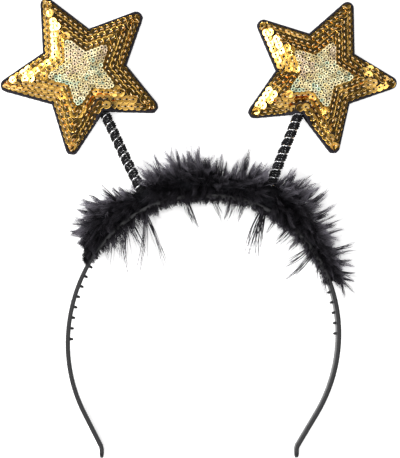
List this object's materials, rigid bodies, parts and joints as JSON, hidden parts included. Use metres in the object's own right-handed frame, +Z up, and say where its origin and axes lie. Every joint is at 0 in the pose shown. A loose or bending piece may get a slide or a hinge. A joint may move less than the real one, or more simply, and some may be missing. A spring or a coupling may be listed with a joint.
{
  "type": "star headband",
  "caption": "Black toothed headband with a feather trim over its crown and padded gold sequin stars on cord-wound springs, lying on its back.",
  "frame": {"origin": "middle of the underside, on the surface that the headband lies on", "axes": "+Z up from the surface, +Y from the tips of the band towards the stars, +X to the right of the one who looks down on it with the stars at the top"},
  "size_m": [0.19, 0.2196, 0.0306],
  "materials": {
    "band_plastic": "satin black moulding",
    "feather_black": "dyed black down feather",
    "spring_steel": "bright drawn wire",
    "cord_black": "twisted black cord",
    "felt_black": "pressed black felt",
    "edging_black": "black overlocked edge",
    "sequin_gold": "metallised gold sequins",
    "sequin_pale": "iridescent pale sequins"
  },
  "bodies": {
    "root": {"band": "band_plastic", "feather_trim": "feather_black", "spring_wire_left": "spring_steel", "spring_cord_left": "cord_black", "star_back_left": "felt_black", "star_edging_left": "edging_black", "star_front_left": "sequin_gold", "star_inset_left": "sequin_pale", "spring_wire_right": "spring_steel", "spring_cord_right": "cord_black", "star_back_right": "felt_black", "star_edging_right": "edging_black", "star_front_right": "sequin_gold", "star_inset_right": "sequin_pale"}
  },
  "joints": []
}
